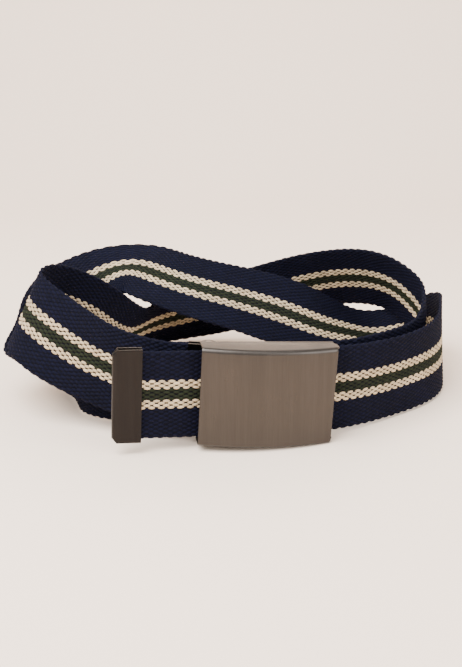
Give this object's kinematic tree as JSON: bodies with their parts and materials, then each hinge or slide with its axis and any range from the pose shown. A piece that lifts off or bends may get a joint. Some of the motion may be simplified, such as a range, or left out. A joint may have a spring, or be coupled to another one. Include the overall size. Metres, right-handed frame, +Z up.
{
  "type": "canvas web belt",
  "caption": "Striped canvas web belt with a plate buckle and metal tip, fastened and loosely coiled on its edge.",
  "frame": {"origin": "under the middle of the coiled belt, at the surface it stands on", "axes": "+X to the right along the longer way of the coil, -Y out of the buckle's face, +Z up"},
  "size_m": [0.2124, 0.1542, 0.0655],
  "materials": {
    "webbing": "plain woven cotton webbing, navy with a cream, olive and cream stripe",
    "buckle_metal": "brushed upright, warm grey",
    "tip_metal": "satin, dark grey",
    "pin_metal": "bright turned steel"
  },
  "bodies": {
    "root": {"webbing_strap": "webbing", "belt_tip": "tip_metal", "buckle_body": "buckle_metal", "end_clamp": "tip_metal", "hinge_pin": "pin_metal", "grip_bar": "pin_metal"}
  },
  "joints": []
}
